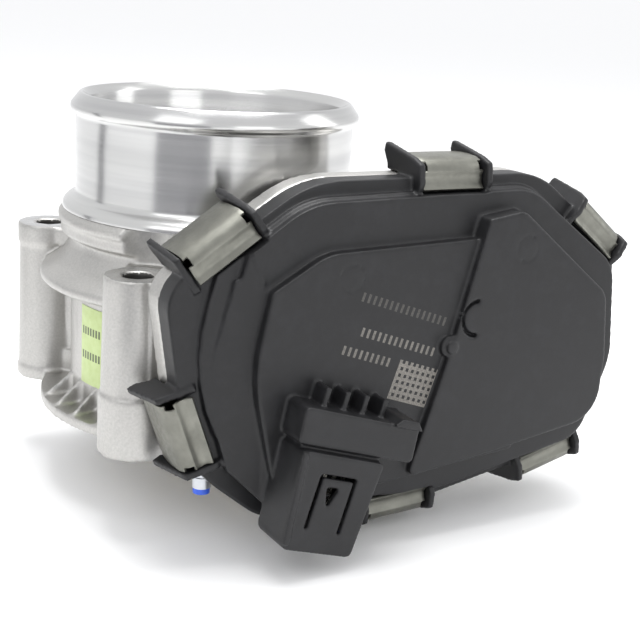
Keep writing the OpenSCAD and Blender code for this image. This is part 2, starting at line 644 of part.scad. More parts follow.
module motor_brushes() color([0.25, 0.22, 0.2]) for (s = [-1, 1])
    translate([motor_c[0] + s * 6.5 - 2.6, cap_y[1], motor_c[1] - 1.6]) cube([5.2, 4, 3.2]);
terminal_w = 4;
terminal_t = 0.8;
terminal_c = [for (s = [-1, 1]) motor_c + [7, -9] + s * [3, 0]];
module motor_terminals() color("silver") for (p = terminal_c)
    wall_y(-57.5, -34) translate(p) square([terminal_w, terminal_t], center = true);
module motor_screws() color("silver") for (s = [0, 180]) difference() {
    union() {
        rod_y(motor_screw_c(s), 2, case_floor_y - 1.6, case_floor_y + 11);
        rod_y(motor_screw_c(s), 3.6, case_floor_y - 4.2, case_floor_y - 1.6);
    }
    rod_y(motor_screw_c(s), 1.6, case_floor_y - 5, case_floor_y - 3);
}
module wave_washer() color("silver") ring_y(motor_c, 14, 10, can_end_y + 0.3, can_end_y + 1.7);

// ---- sensor and connector ----
module sensor_board() color("green") difference() {
    wall_y(-59, -57.6) polygon([[-12.4, 40], [-8.5, 43.4], [11.5, 43.4], [11.5, 9], [-12.4, 9]]);
    for (p = [[-9.4, 40], [9.5, 41.4]]) rod_y(p, 1.2, -60, -56);
}
module sensor_chip() color([0.1, 0.1, 0.1]) wall_y(-60.2, -59) translate([-6, 24]) square([7, 7]);
pin_pitch = 2.6;
module connector_pins() color("gold") for (i = [0:pin_count - 1])
    on_plug(-65, -64.4) translate([13.6 + (i - (pin_count - 1) / 2) * pin_pitch - 0.5, 11.5])
        square([1, 17]);

housing();
gear_cover();
cover_clips();
cover_gasket();
bore_label();
throttle_shaft();
throttle_plate();
plate_screws();
drive_bearing();
end_bearing();
shaft_seal();
end_plug();
retaining_ring();
spring_bush();
return_spring();
sector_gear();
gear_insert();
sensor_target();
idler_pin();
idler_gear();
motor_can();
motor_magnets();
rotor_core();
rotor_windings();
commutator();
motor_shaft();
motor_pinion();
motor_bushings();
motor_end_cap();
motor_brushes();
motor_terminals();
motor_screws();
wave_washer();
sensor_board();
sensor_chip();
connector_pins();
stop_screw();
stop_screw_paint();
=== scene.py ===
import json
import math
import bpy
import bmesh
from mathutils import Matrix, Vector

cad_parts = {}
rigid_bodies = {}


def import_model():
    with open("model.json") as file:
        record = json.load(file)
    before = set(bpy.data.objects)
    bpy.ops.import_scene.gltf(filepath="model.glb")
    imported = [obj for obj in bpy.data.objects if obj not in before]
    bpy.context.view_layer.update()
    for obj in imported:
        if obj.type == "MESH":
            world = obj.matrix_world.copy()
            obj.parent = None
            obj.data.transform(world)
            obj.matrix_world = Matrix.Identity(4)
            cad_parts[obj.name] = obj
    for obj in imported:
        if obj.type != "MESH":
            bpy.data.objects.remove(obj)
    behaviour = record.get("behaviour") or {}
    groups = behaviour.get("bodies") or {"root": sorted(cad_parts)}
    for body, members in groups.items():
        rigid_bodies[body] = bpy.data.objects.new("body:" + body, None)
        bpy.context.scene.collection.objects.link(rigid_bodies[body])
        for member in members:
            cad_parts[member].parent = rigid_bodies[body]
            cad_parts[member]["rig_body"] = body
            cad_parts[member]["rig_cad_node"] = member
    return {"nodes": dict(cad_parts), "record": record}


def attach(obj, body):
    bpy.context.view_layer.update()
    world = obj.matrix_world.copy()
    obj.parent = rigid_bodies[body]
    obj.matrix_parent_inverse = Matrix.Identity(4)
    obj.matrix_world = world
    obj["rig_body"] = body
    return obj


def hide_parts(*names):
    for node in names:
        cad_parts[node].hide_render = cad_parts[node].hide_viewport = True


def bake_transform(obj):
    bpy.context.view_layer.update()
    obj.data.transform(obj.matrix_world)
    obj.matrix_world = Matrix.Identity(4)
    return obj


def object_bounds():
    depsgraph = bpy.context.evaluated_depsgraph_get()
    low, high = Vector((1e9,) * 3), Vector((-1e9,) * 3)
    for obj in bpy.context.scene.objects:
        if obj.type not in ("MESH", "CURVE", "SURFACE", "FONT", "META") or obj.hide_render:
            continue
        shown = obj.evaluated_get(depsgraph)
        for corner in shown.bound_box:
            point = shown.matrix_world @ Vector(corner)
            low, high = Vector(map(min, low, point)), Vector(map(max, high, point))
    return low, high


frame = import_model()

# %% [markdown]
# # An electronic throttle body
# The part is an air valve: a round plate on a shaft turns inside a cast aluminium bore, and a
# small motor drives it through gears under a clipped plastic cover. The frame that was just
# loaded holds every working piece at its real place and size. This script keeps the working
# pieces that are already right, gives them real finishes, and models anew the pieces whose
# looks depend on soft edges: the casting, the moulded cover and its clips. The label gets its printed film
# finish.

MM = 0.001
nodes = frame["nodes"]
cad_box = [list(corner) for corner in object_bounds()]
print("CAD box", cad_box)

# %% [markdown]
# Blender's operators act on whatever is selected and active, so every step starts by clearing
# the selection and picking one object. These two helpers do that, and a third picks the
# vertices, edges or faces of the mesh being edited by a rule about their place or direction.

# %% Picking objects and parts of a mesh
def only(obj):
    if bpy.context.object and bpy.context.object.mode != "OBJECT":
        bpy.ops.object.mode_set(mode="OBJECT")
    bpy.ops.object.select_all(action="DESELECT")
    obj.select_set(True)
    bpy.context.view_layer.objects.active = obj
    return obj

def edit(obj):
    only(obj)
    bpy.ops.object.mode_set(mode="EDIT")

def done():
    bpy.ops.object.mode_set(mode="OBJECT")

def choose(kind, rule):
    obj = bpy.context.object
    bpy.ops.mesh.select_all(action="DESELECT")
    bpy.ops.mesh.select_mode(type=kind)
    mesh = bmesh.from_edit_mesh(obj.data)
    parts = {"VERT": mesh.verts, "EDGE": mesh.edges, "FACE": mesh.faces}[kind]
    count = 0
    for part in parts:
        if rule(part):
            part.select_set(True)
            count += 1
    mesh.select_flush_mode()
    bmesh.update_edit_mesh(obj.data)
    return count

def apply_all(obj):
    only(obj)
    for modifier in list(obj.modifiers):
        bpy.ops.object.modifier_apply(modifier=modifier.name)

def finish_mesh(obj, angle=30):
    only(obj)
    bpy.ops.object.transform_apply(location=True, rotation=True, scale=True)
    bpy.ops.object.shade_smooth_by_angle(angle=math.radians(angle))
    print(obj.name, len(obj.data.polygons), "faces")

# %% [markdown]
# ## Camera, floor and light
# The camera stands a little above the part, in front of the cover and to its left, with a
# slightly long lens and a small roll, as for a page in a parts catalogue.

# %% Camera
turn, lift, roll = math.radians(-30.81), math.radians(15.50), math.radians(3.50)
back = Vector((math.sin(turn) * math.cos(lift), -math.cos(turn) * math.cos(lift), math.sin(lift)))
level = Vector((math.cos(turn), math.sin(turn), 0))
above = back.cross(level)
side = level * math.cos(roll) + above * math.sin(roll)
top = above * math.cos(roll) - level * math.sin(roll)
bpy.ops.object.camera_add()
camera = bpy.context.object
camera.name = "camera"
camera.matrix_world = Matrix.Translation(Vector((-138.63, -290.35, 111.06)) * MM) @ Matrix(
    (side, top, back)).transposed().to_4x4()
camera.data.lens = 70.3
camera.data.sensor_width = 36
camera.data.clip_start = 0.01
bpy.context.scene.camera = camera
print("camera looks along", tuple(round(-v, 3) for v in back))

# %% Floor and light
low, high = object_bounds()
bpy.ops.object.select_all(action="DESELECT")
bpy.ops.mesh.primitive_plane_add(size=60, location=(0, 0, low[2] - 0.2 * MM))
floor = bpy.context.object
floor.name = "floor"

def lamp(name, place, aim, size, power):
    bpy.ops.object.light_add(type="AREA", location=place)
    light = bpy.context.object
    light.name = name
    light.data.shape = "RECTANGLE"
    light.data.size, light.data.size_y = size
    light.data.energy = power
    direction = Vector(aim) - Vector(place)
    light.rotation_euler = direction.to_track_quat("-Z", "Y").to_euler()
    return light

middle = (0.02, 0, 0.03)
lamp("key_softbox", (-0.75, -0.45, 0.75), middle, (0.6, 0.6), 1.6)
lamp("top_softbox", (0.15, 0.1, 1.1), middle, (1.0, 0.8), 2)
lamp("right_softbox", (0.95, -0.3, 0.45), middle, (0.4, 0.8), 1.6)
lamp("front_softbox", (0.08, -0.95, 0.2), middle, (0.5, 0.35), 0.8)
lamp("gap_softbox", (0.03, 0.02, 0.5), (0.02, -0.04, 0.05), (0.3, 0.3), 2)

# %% [markdown]
# Bright metal shows what stands around it. In a studio, dark cards stand beside the camera, so
# that a turned tube gets dark streaks between its bright ones. The cards here are seen only in
# reflections: they cast no shadow and never come into view.

# %% Dark cards for the reflections
def card(name, first_turn, last_turn, distance, height, shade):
    corners = []
    for angle in (first_turn, last_turn):
        direction = (math.sin(math.radians(angle)), -math.cos(math.radians(angle)))
        corners.append((direction[0] * distance, direction[1] * distance))
    bpy.ops.object.select_all(action="DESELECT")
    bpy.ops.mesh.primitive_plane_add(size=1)
    sheet = bpy.context.object
    sheet.name = name
    heights = ((height[0], 0), (height[0], 1), (height[1], 0), (height[1], 1))
    for vertex, (z, side_index) in zip(sheet.data.vertices, heights):
        vertex.co = (corners[side_index][0], corners[side_index][1], z)
    paint = bpy.data.materials.new(name)
    paint.use_nodes = True
    paper = paint.node_tree.nodes["Principled BSDF"]
    paper.inputs["Base Color"].default_value = (shade, shade, shade * 1.05, 1)
    paper.inputs["Roughness"].default_value = 0.9
    sheet.data.materials.append(paint)
    sheet.visible_camera = False
    sheet.visible_diffuse = False
    sheet.visible_shadow = False
    return sheet

card("camera_side_card", -70, -28, 0.2, (-0.013, 0.085), 0.3)
card("left_card", -128, -120, 0.25, (-0.013, 0.1), 0.2)
world = bpy.data.worlds.new("studio")
world.use_nodes = True
world.node_tree.nodes["Background"].inputs["Color"].default_value = (0.98, 0.985, 1, 1)
world.node_tree.nodes["Background"].inputs["Strength"].default_value = 1.0
bpy.context.scene.world = world
bpy.context.scene.view_settings.view_transform = "Standard"
print("floor at", round(low[2] / MM, 2), "mm, five soft lights, two cards")

# %% [markdown]
# ## Finishes
# Each finish is a node tree on Object coordinates, in metres, so a pattern keeps its real size
# on every piece. The helpers below add a noise or a ramp and wire it, and a finish is then a
# few lines: a base colour that varies, a roughness that varies, and a fine bump.

# %% Small helpers for finishes
def finish_start(name, color, roughness, metallic=0.0):
    material = bpy.data.materials.new(name)
    material.use_nodes = True
    tree = material.node_tree
    shader = tree.nodes["Principled BSDF"]
    shader.inputs["Base Color"].default_value = (*color, 1)
    shader.inputs["Roughness"].default_value = roughness
    shader.inputs["Metallic"].default_value = metallic
    material.diffuse_color = (*color, 1)
    place = tree.nodes.new("ShaderNodeTexCoord").outputs["Object"]
    return material, tree, shader, place

def noise(tree, place, per_metre, detail=3, stretch=(1, 1, 1), rough=0.5):
    mapping = tree.nodes.new("ShaderNodeMapping")
    mapping.inputs["Scale"].default_value = [per_metre * s for s in stretch]
    tree.links.new(place, mapping.inputs["Vector"])
    node = tree.nodes.new("ShaderNodeTexNoise")
    node.inputs["Scale"].default_value = 1
    node.inputs["Detail"].default_value = detail
    node.inputs["Roughness"].default_value = rough
    tree.links.new(mapping.outputs["Vector"], node.inputs["Vector"])
    return node.outputs["Fac"]

def spread(tree, value, low_out, high_out, low_in=0.3, high_in=0.7):
    node = tree.nodes.new("ShaderNodeMapRange")
    node.inputs["From Min"].default_value = low_in
    node.inputs["From Max"].default_value = high_in
    node.inputs["To Min"].default_value = low_out
    node.inputs["To Max"].default_value = high_out
    tree.links.new(value, node.inputs["Value"])
    return node.outputs["Result"]

def blend_colors(tree, factor, first, second):
    node = tree.nodes.new("ShaderNodeMix")
    node.data_type = "RGBA"
    for socket, color in (("A", first), ("B", second)):
        target = [s for s in node.inputs if s.name == socket and s.type == "RGBA"][0]
        if isinstance(color, tuple):
            target.default_value = (*color, 1)
        else:
            tree.links.new(color, target)
    tree.links.new(factor, [s for s in node.inputs if s.name == "Factor" and s.type == "VALUE"][0])
    return [s for s in node.outputs if s.type == "RGBA"][0]

def add_bump(tree, shader, heights, distance):
    normal = None
    for value, strength in heights:
        node = tree.nodes.new("ShaderNodeBump")
        node.inputs["Strength"].default_value = strength
        node.inputs["Distance"].default_value = distance
        tree.links.new(value, node.inputs["Height"])
        if normal:
            tree.links.new(normal, node.inputs["Normal"])
        normal = node.outputs["Normal"]
    tree.links.new(normal, shader.inputs["Normal"])

def combine(tree, operation, first, second):
    node = tree.nodes.new("ShaderNodeMath")
    node.operation = operation
    for socket, value in zip(node.inputs, (first, second)):
        if isinstance(value, (int, float)):
            socket.default_value = value
        else:
            tree.links.new(value, socket)
    return node.outputs["Value"]

def turned_place(tree, place, origin, degrees):
    mapping = tree.nodes.new("ShaderNodeMapping")
    mapping.vector_type = "TEXTURE"
    mapping.inputs["Location"].default_value = [c * MM for c in origin]
    mapping.inputs["Rotation"].default_value = (0, math.radians(degrees), 0)
    mapping.inputs["Scale"].default_value = (MM, MM, MM)
    tree.links.new(place, mapping.inputs["Vector"])
    split = tree.nodes.new("ShaderNodeSeparateXYZ")
    tree.links.new(mapping.outputs["Vector"], split.inputs["Vector"])
    return split.outputs["X"], split.outputs["Y"], split.outputs["Z"]

def inside(tree, value, first, last):
    above_first = combine(tree, "GREATER_THAN", value, first)
    below_last = combine(tree, "LESS_THAN", value, last)
    return combine(tree, "MULTIPLY", above_first, below_last)

def repeat(tree, value, pitch, share):
    return combine(tree, "LESS_THAN", combine(tree, "FRACT", combine(tree, "DIVIDE", value, pitch), 0), share)

# %% [markdown]
# Cast aluminium comes out of the die with a fine, slightly sandy skin. It reflects softly, and
# its grain shows as tiny light and dark specks. Two noises, one at a fraction of a millimetre
# and one at a centimetre, vary the colour, the roughness and the bump.

# %% Cast aluminium
def cast_aluminium():
    material, tree, shader, place = finish_start("cast_aluminium", (0.48, 0.475, 0.46), 0.42, 1.0)
    grain = noise(tree, place, 1800, 4)
    cloud = noise(tree, place, 90, 4)
    both = combine(tree, "ADD", combine(tree, "MULTIPLY", grain, 0.6), combine(tree, "MULTIPLY", cloud, 0.4))
    tree.links.new(blend_colors(tree, spread(tree, both, 0, 1), (0.42, 0.415, 0.40), (0.55, 0.54, 0.52)),
                   shader.inputs["Base Color"])
    tree.links.new(spread(tree, cloud, 0.38, 0.52), shader.inputs["Roughness"])
    add_bump(tree, shader, [(grain, 0.2), (noise(tree, place, 500, 3), 0.25)], 0.05 * MM)
    return material

# %% [markdown]
# The spigot, the bore and the faces are machined afterwards: a lathe tool leaves a spiral of
# fine lines round the bore's axis. A noise that is stretched flat, hundreds of times finer
# along Z than round the tube, draws those lines in the bump and in the roughness.

# %% Turned aluminium
def turned_aluminium():
    material, tree, shader, place = finish_start("turned_aluminium", (0.80, 0.80, 0.81), 0.2, 1.0)
    lines = noise(tree, place, 1, 4, (12, 12, 3800), 0.6)
    bands = noise(tree, place, 1, 2, (12, 12, 420))
    tree.links.new(spread(tree, lines, 0.19, 0.25), shader.inputs["Roughness"])
    tree.links.new(blend_colors(tree, spread(tree, bands, 0, 1), (0.50, 0.50, 0.50), (0.62, 0.62, 0.61)),
                   shader.inputs["Base Color"])
    shader.inputs["Anisotropic"].default_value = 0.6
    shader.inputs["Anisotropic Rotation"].default_value = 0.25
    around = tree.nodes.new("ShaderNodeTangent")
    around.direction_type = "RADIAL"
    around.axis = "Z"
    tree.links.new(around.outputs["Tangent"], shader.inputs["Tangent"])
    add_bump(tree, shader, [(lines, 0.05)], 0.02 * MM)
    return material

# %% [markdown]
# The cover is moulded from glass-filled nylon. The mould is spark-eroded, which leaves a fine
# leathery grain that spreads the highlights, and handling adds faint dust and rub marks. A
# laser has bleached a square patch and three rows of marks into its front. They stand for a
# maker's code, so here they are plain cells and bars: the place is turned into the mark's own
# frame, in millimetres, and comparisons cut out a box and repeat a cell.

# %% Moulded black plastic
MARK_TURN = 18.6
PATCH_CORNER = (19.3, 0, 26.2)
PATCH_W, PATCH_H, PATCH_CELL = 11.4, 9.6, 0.8
MARK_ROWS = (((7.7, 0, 42.1), 25.6, 0.3), ((8.1, 0, 33.9), 22.4, 0.8), ((3.4, 0, 30.1), 14.4, 0.8))
BAR_PITCH, BAR_SHARE, BAR_H = 1.6, 0.42, 2.1

def laser_marks(tree, place):
    across, deep, up = turned_place(tree, place, PATCH_CORNER, MARK_TURN)
    in_patch = combine(tree, "MULTIPLY", inside(tree, across, 0, PATCH_W), inside(tree, up, -PATCH_H, 0))
    columns = repeat(tree, across, PATCH_CELL * 2, 0.5)
    lines = repeat(tree, up, PATCH_CELL * 2, 0.5)
    cells = combine(tree, "MAXIMUM", columns, lines)
    marks = combine(tree, "MULTIPLY", in_patch, cells)
    for origin, length, strength in MARK_ROWS:
        across, deep, up = turned_place(tree, place, origin, MARK_TURN)
        row = combine(tree, "MULTIPLY", inside(tree, across, 0, length),
                      inside(tree, up, -BAR_H / 2, BAR_H / 2))
        bars = combine(tree, "MULTIPLY", row, repeat(tree, across, BAR_PITCH, BAR_SHARE))
        marks = combine(tree, "MAXIMUM", marks, combine(tree, "MULTIPLY", bars, strength))
    on_front = combine(tree, "LESS_THAN", deep, -62)
    return combine(tree, "MULTIPLY", marks, on_front)

def cover_plastic():
    material, tree, shader, place = finish_start("cover_plastic", (0.016, 0.016, 0.018), 0.45)
    shader.inputs["Specular IOR Level"].default_value = 0.38
    grain = noise(tree, place, 2600, 3)
    dust = noise(tree, place, 240, 5, (1, 1, 1), 0.7)
    plastic = blend_colors(tree, spread(tree, dust, 0, 1, 0.45, 0.8),
                           (0.009, 0.009, 0.010), (0.018, 0.018, 0.020))
    etched = combine(tree, "MULTIPLY", laser_marks(tree, place), spread(tree, grain, 0.35, 0.8))
    tree.links.new(blend_colors(tree, etched, plastic, (0.30, 0.28, 0.25)), shader.inputs["Base Color"])
    tree.links.new(spread(tree, dust, 0.40, 0.52), shader.inputs["Roughness"])
    add_bump(tree, shader, [(grain, 0.25)], 0.04 * MM)
    return material

# %% [markdown]
# The rest of the pieces are steels, plastics and non-ferrous metals. One function makes them
# all: the colour, the roughness, a scale for the grain and how deep it is are what differ.

# %% One function for the small pieces' finishes
def plain_finish(name, color, roughness, metallic=0.0, grain=1500, depth=0.15, stretch=(1, 1, 1)):
    material, tree, shader, place = finish_start(name, color, roughness, metallic)
    fine = noise(tree, place, grain, 3, stretch)
    wide = noise(tree, place, 160, 3)
    darker = tuple(c * 0.82 for c in color)
    lighter = tuple(min(c * 1.12, 1) for c in color)
    tree.links.new(blend_colors(tree, spread(tree, wide, 0, 1), darker, lighter), shader.inputs["Base Color"])
    tree.links.new(spread(tree, fine, roughness * 0.8, min(roughness * 1.25, 1)), shader.inputs["Roughness"])
    add_bump(tree, shader, [(fine, depth)], 0.04 * MM)
    return material

# %% [markdown]
# The label is a film of pale lime paper with two rows of small dark bars in place of print. It
# is wrapped round the bore, so the bars repeat with the angle round the bore's axis.

# %% Label film
LABEL_ROWS = (22.2, 15.9)
LABEL_FIRST, LABEL_LAST = -175.0, -161.7
LABEL_PITCH, LABEL_SHARE, LABEL_BAR = 1.9, 0.62, 2.0

def label_film():
    material, tree, shader, place = finish_start("label_film", (0.71, 0.85, 0.43), 0.4)
    split = tree.nodes.new("ShaderNodeSeparateXYZ")
    tree.links.new(place, split.inputs["Vector"])
    radians = combine(tree, "ARCTAN2", split.outputs["Y"], split.outputs["X"])
    angle = combine(tree, "MULTIPLY", radians, 180 / math.pi)
    bars = combine(tree, "MULTIPLY", inside(tree, angle, LABEL_FIRST, LABEL_LAST),
                   repeat(tree, angle, LABEL_PITCH, LABEL_SHARE))
    rows = None
    for z in LABEL_ROWS:
        row = inside(tree, split.outputs["Z"], (z - LABEL_BAR / 2) * MM, (z + LABEL_BAR / 2) * MM)
        rows = row if rows is None else combine(tree, "MAXIMUM", rows, row)
    print_mask = combine(tree, "MULTIPLY", bars, rows)
    paper = blend_colors(tree, spread(tree, noise(tree, place, 500, 3), 0, 1),
                         (0.47, 0.58, 0.24), (0.54, 0.65, 0.31))
    tree.links.new(blend_colors(tree, print_mask, paper, (0.10, 0.13, 0.06)), shader.inputs["Base Color"])
    add_bump(tree, shader, [(noise(tree, place, 700, 2), 0.08)], 0.03 * MM)
    return material

# %% All finishes, and the CAD nodes that wear them
ACROSS, TURNED, STACKED = (1, 0.02, 0.02), (0.03, 1, 0.03), (0.02, 1, 0.02)
finishes = {
    "cast_aluminium": cast_aluminium(),
    "turned_aluminium": turned_aluminium(),
    # near-black finish for the walls of the drilled holes: painted shade that stands in for the dark inside
    # of the holes
    "painted_hole_shade": plain_finish("painted_hole_shade", (0.09, 0.088, 0.084), 0.6, 1.0, 900, 0.3),
    "cover_plastic": cover_plastic(),
    "clip_steel": plain_finish("clip_steel", (0.21, 0.21, 0.185), 0.42, 1.0, 900, 0.25),
    "seal_rubber": plain_finish("seal_rubber", (0.02, 0.02, 0.02), 0.6, 0.0, 900, 0.3),
    "turned_steel": plain_finish("turned_steel", (0.55, 0.55, 0.56), 0.25, 1.0, 2500, 0.1, TURNED),
    "plate_brass": plain_finish("plate_brass", (0.60, 0.47, 0.22), 0.3, 1.0, 1200, 0.15, ACROSS),
    "zinc_steel": plain_finish("zinc_steel", (0.58, 0.60, 0.63), 0.32, 1.0, 700, 0.2),
    "bearing_steel": plain_finish("bearing_steel", (0.50, 0.51, 0.52), 0.22, 1.0, 2500, 0.08, TURNED),
    "spring_steel": plain_finish("spring_steel", (0.26, 0.26, 0.27), 0.32, 1.0, 1500, 0.15),
    "bush_plastic": plain_finish("bush_plastic", (0.62, 0.58, 0.47), 0.45),
    "gear_plastic": plain_finish("gear_plastic", (0.70, 0.66, 0.53), 0.42, 0.0, 1100, 0.2),
    "copper": plain_finish("copper", (0.58, 0.25, 0.12), 0.3, 1.0, 1400, 0.2),
    "can_steel": plain_finish("can_steel", (0.58, 0.58, 0.57), 0.28, 1.0, 1600, 0.12, TURNED),
    "ferrite": plain_finish("ferrite", (0.05, 0.05, 0.055), 0.6, 0.2, 900, 0.5),
    "lamination_steel": plain_finish("lamination_steel", (0.30, 0.31, 0.33), 0.4, 1.0, 2000, 0.5, STACKED),
    "pinion_brass": plain_finish("pinion_brass", (0.66, 0.47, 0.16), 0.28, 1.0),
    "bronze": plain_finish("bronze", (0.42, 0.27, 0.11), 0.45, 1.0, 1800, 0.5),
    "cap_plastic": plain_finish("cap_plastic", (0.03, 0.03, 0.03), 0.5),
    "carbon": plain_finish("carbon", (0.04, 0.035, 0.035), 0.7, 0.1, 1500, 0.5),
    "tinned_copper": plain_finish("tinned_copper", (0.66, 0.64, 0.58), 0.28, 1.0),
    "board_laminate": plain_finish("board_laminate", (0.01, 0.10, 0.04), 0.3, 0.0, 500, 0.1),
    "chip_resin": plain_finish("chip_resin", (0.02, 0.02, 0.022), 0.5, 0.0, 1500, 0.3),
    "mark_paint": plain_finish("mark_paint", (0.03, 0.12, 0.75), 0.3, 0.0, 400, 0.3),
    "label_film": label_film(),
}
slot_of = {row["node"]: row["material_slot"] for row in frame["record"]["subparts"]}
for name, obj in nodes.items():
    obj.data.materials.clear()
    obj.data.materials.append(finishes[slot_of[name]])
print(len(finishes), "finishes on", len(nodes), "nodes")

floor_finish, tree, shader, place = finish_start("floor_paper", (0.97, 0.97, 0.97), 0.8)
add_bump(tree, shader, [(noise(tree, place, 400, 2), 0.05)], 0.05 * MM)
floor.data.materials.append(floor_finish)

# %% [markdown]
# ## Shaping helpers
# A flat outline is the start of most tools and plates here. A circle primitive with as many
# points as the outline has corners is laid in the right plane, its points are moved to the
# corners, and an extrude gives it depth. Boolean modifiers then add it to a piece or cut it
# away. The exact solver is used, because the faces often meet at small angles.

# %% Outlines, rods and booleans
def clear_selection():
    only(floor)
    bpy.ops.object.select_all(action="DESELECT")

def outline_plate(name, corners, y_front, y_back):
    clear_selection()
    bpy.ops.mesh.primitive_circle_add(vertices=len(corners), fill_type="NGON")
    plate = bpy.context.object
    plate.name = name
    for vertex, (x, z) in zip(plate.data.vertices, corners):
        vertex.co = (x * MM, y_front * MM, z * MM)
    edit(plate)
    bpy.ops.mesh.select_all(action="SELECT")
    bpy.ops.mesh.extrude_region_move(TRANSFORM_OT_translate={"value": (0, (y_back - y_front) * MM, 0)})
    bpy.ops.mesh.select_all(action="SELECT")
    bpy.ops.mesh.normals_make_consistent(inside=False)
    done()
    return plate

def rod(name, radius, start, end, vertices=64):
    start, end = Vector(start) * MM, Vector(end) * MM
    clear_selection()
    bpy.ops.mesh.primitive_cone_add(vertices=vertices, radius1=radius * MM, radius2=radius * MM,
                                    depth=(end - start).length, location=(start + end) / 2,
                                    rotation=(end - start).to_track_quat("Z", "Y").to_euler())
    bar = bpy.context.object
    bar.name = name
    bpy.ops.object.transform_apply(location=True, rotation=True, scale=True)
    return bar

def block(name, low_corner, high_corner):
    clear_selection()
    middle = [(a + b) / 2 * MM for a, b in zip(low_corner, high_corner)]
    bpy.ops.mesh.primitive_cube_add(size=1, location=middle)
    box = bpy.context.object
    box.name = name
    box.scale = [(b - a) * MM for a, b in zip(low_corner, high_corner)]
    bpy.ops.object.transform_apply(location=True, rotation=True, scale=True)
    return box

def combine_with(piece, tools, operation):
    for tool in tools:
        only(piece)
        modifier = piece.modifiers.new("cut", "BOOLEAN")
        modifier.operation = operation
        modifier.solver = "EXACT"
        modifier.object = tool
        bpy.ops.object.modifier_apply(modifier=modifier.name)
        bpy.data.objects.remove(tool)
    print(piece.name, operation.lower(), len(piece.data.polygons), "faces")

def join_all(parts, name):
    only(parts[0])
    for part in parts[1:]:
        part.select_set(True)
    bpy.ops.object.join()
    parts[0].name = name
    return parts[0]

def copy_of_node(node, name):
    piece = nodes[node].copy()
    piece.data = nodes[node].data.copy()
    piece.parent = None
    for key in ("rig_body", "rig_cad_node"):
        del piece[key]
    piece.name = name
    bpy.context.scene.collection.objects.link(piece)
    edit(piece)
    bpy.ops.mesh.select_all(action="SELECT")
    bpy.ops.mesh.remove_doubles(threshold=0.002 * MM)
    bpy.ops.mesh.tris_convert_to_quads()
    done()
    return piece

# %% [markdown]
# Melted metal or plastic never fills a sharp corner, so every edge of a casting or a moulding
# is a little round, and every inside corner has a fillet. Beveling hundreds of such edges by
# hand is slow and fails where many of them meet. A voxel remesh rebuilds the skin from small
# cells, a few rounds of smoothing then wear down all its edges and fill its corners alike, and
# a decimate modifier thins the flat areas, where the cells carry no shape.

# %% Soften a piece as if it were cast
def keep_in_box(piece):
    for vertex in piece.data.vertices:
        vertex.co = [min(max(c, low), high) for c, low, high in zip(vertex.co, *cad_box)]

def soften(piece, voxel, rounds, most_faces):
    only(piece)
    remesh = piece.modifiers.new("remesh", "REMESH")
    remesh.mode = "VOXEL"
    remesh.voxel_size = voxel * MM * 1
    remesh.use_smooth_shade = True
    bpy.ops.object.modifier_apply(modifier=remesh.name)
    smooth = piece.modifiers.new("smooth", "SMOOTH")
    smooth.factor = 0.5
    smooth.iterations = rounds
    bpy.ops.object.modifier_apply(modifier=smooth.name)
    triangles = 2 * len(piece.data.polygons)
    thin = piece.modifiers.new("thin", "DECIMATE")
    thin.ratio = min(1, most_faces / triangles)
    bpy.ops.object.modifier_apply(modifier=thin.name)
    keep_in_box(piece)
    print(piece.name, "softened:", triangles, "triangles thinned to", len(piece.data.polygons))

# %% [markdown]
# ## The housing
# The housing is one aluminium casting, and then a lathe and drills cut the faces that have to
# fit. It is made here in the same order: the CAD node's shape is copied and given the foundry's
# small ledges, softened all over, and only then drilled and faced, so that the cut edges are
# crisp and the cast ones are round.

# %% Cast body: copy, make room for the turned tube, add the foundry's ledges
TUBE_FOOT, TUBE_ROOM_R, CASE_BACK_Y = 51.0, 39.5, -37.9
BORE_R, LINER_R, SPIGOT_R = 32, 33.2, 35
BOSS_X, BOSS_Y, BOSS_TOP = 33.2, 31.5, 42.5
BOSS_FACE_R, DRILL_R = 8.35, 3.4
SHAFT_Z = 25.5
casting = copy_of_node("housing", "housing_casting")
tube_room = rod("tube_room", TUBE_ROOM_R, (0, 0, TUBE_FOOT), (0, 0, 95), 128)
combine_with(tube_room, [block("case_back", (-45, -45, 50), (45, CASE_BACK_Y, 96))], "DIFFERENCE")
combine_with(casting, [tube_room], "DIFFERENCE")
seam_step = rod("seam_step", 8.75, (-BOSS_X, -BOSS_Y, 0.3), (-BOSS_X, -BOSS_Y, 14.5))
lower_ledge = block("lower_ledge", (0, -5.6, 0.3), (9.5, 5.6, 8.6))
to_boss = Matrix.Translation(Vector((-BOSS_X, BOSS_Y, 0)) * MM)
to_bore = Matrix.Rotation(math.radians(-43.5), 4, "Z")
lower_ledge.data.transform(to_boss @ to_bore)
bosses = [(x, y) for x in (-BOSS_X, BOSS_X) for y in (-BOSS_Y, BOSS_Y)]
combine_with(casting, [seam_step, lower_ledge], "UNION")

# %% Soften it, then face and drill it
soften(casting, 0.5, 5, 170000)
cutters = [block("face_cut", (-56, CASE_BACK_Y, -9), (56, 46, 0.04)),
           rod("bore_cut", LINER_R, (0, 0, -5), (0, 0, 60), 128),
           rod("shaft_cut", 5.4, (0, -49, SHAFT_Z), (0, 60, SHAFT_Z))]
cutters += [rod("boss_face", BOSS_FACE_R, (x, y, BOSS_TOP - 0.05), (x, y, BOSS_TOP + 4)) for x, y in bosses]
combine_with(casting, cutters, "DIFFERENCE")
combine_with(casting, [rod("drill", DRILL_R, (x, y, -9), (x, y, 50)) for x, y in bosses], "DIFFERENCE")
keep_in_box(casting)
finish_mesh(casting, 40)
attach(casting, "housing")
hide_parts("housing")

# %% [markdown]
# The tube that the air hose slips over is turned on a lathe: its wall is a profile swept once
# round the bore's axis. Spin does exactly that. The profile goes up the bore, over the lip and
# its chamfer, down past the bead that holds the hose, and out over the rounded shoulder. The
# same sweep makes the bore's whole lining, so the lathe's lines run without a break.

